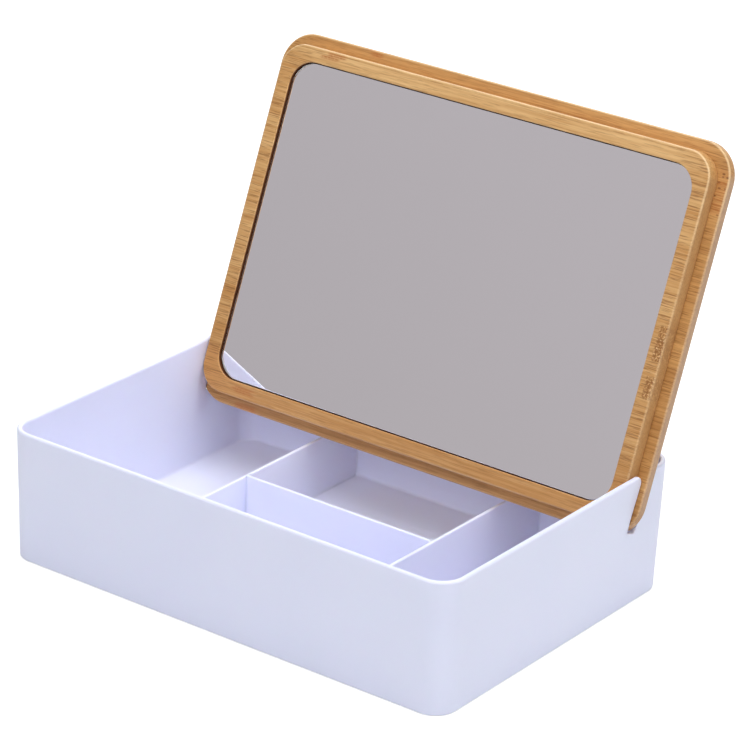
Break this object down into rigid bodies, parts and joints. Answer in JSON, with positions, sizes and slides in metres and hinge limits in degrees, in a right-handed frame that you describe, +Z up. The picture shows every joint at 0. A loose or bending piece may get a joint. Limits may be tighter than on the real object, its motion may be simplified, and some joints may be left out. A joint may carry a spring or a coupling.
{
  "type": "vanity box with mirror",
  "caption": "Shallow divided plastic tub with a bamboo lid whose inner side holds a mirror; the lid stands in slanted slots in the side walls as a table mirror.",
  "frame": {"origin": "middle of the tub's flat base", "axes": "+X to the right along the long side, -Y to the front of the box, +Z up"},
  "size_m": [0.255, 0.2139, 0.2073],
  "materials": {
    "tub_plastic": "satin moulded plastic, white with a cool tint",
    "bamboo_board": "clear lacquered bamboo, grain along the long side",
    "bamboo_frame": "clear lacquered bamboo, lighter than the outer board",
    "silvered_glass": "polished, silvered at the back",
    "mounting_tape": "foam tape"
  },
  "bodies": {
    "tub": {"storage_tub": "tub_plastic", "left_divider": "tub_plastic", "right_divider": "tub_plastic", "cross_divider": "tub_plastic"},
    "lid": {"lid_board": "bamboo_board", "mirror_frame": "bamboo_frame", "mirror_glass": "silvered_glass", "mirror_tape": "mounting_tape"}
  },
  "joints": [
    {"name": "lid_lift", "type": "slide", "parent": "tub", "child": "lid", "axis": [0, 0.3649, 0.9311], "range_m": [0, 0.04]}
  ]
}
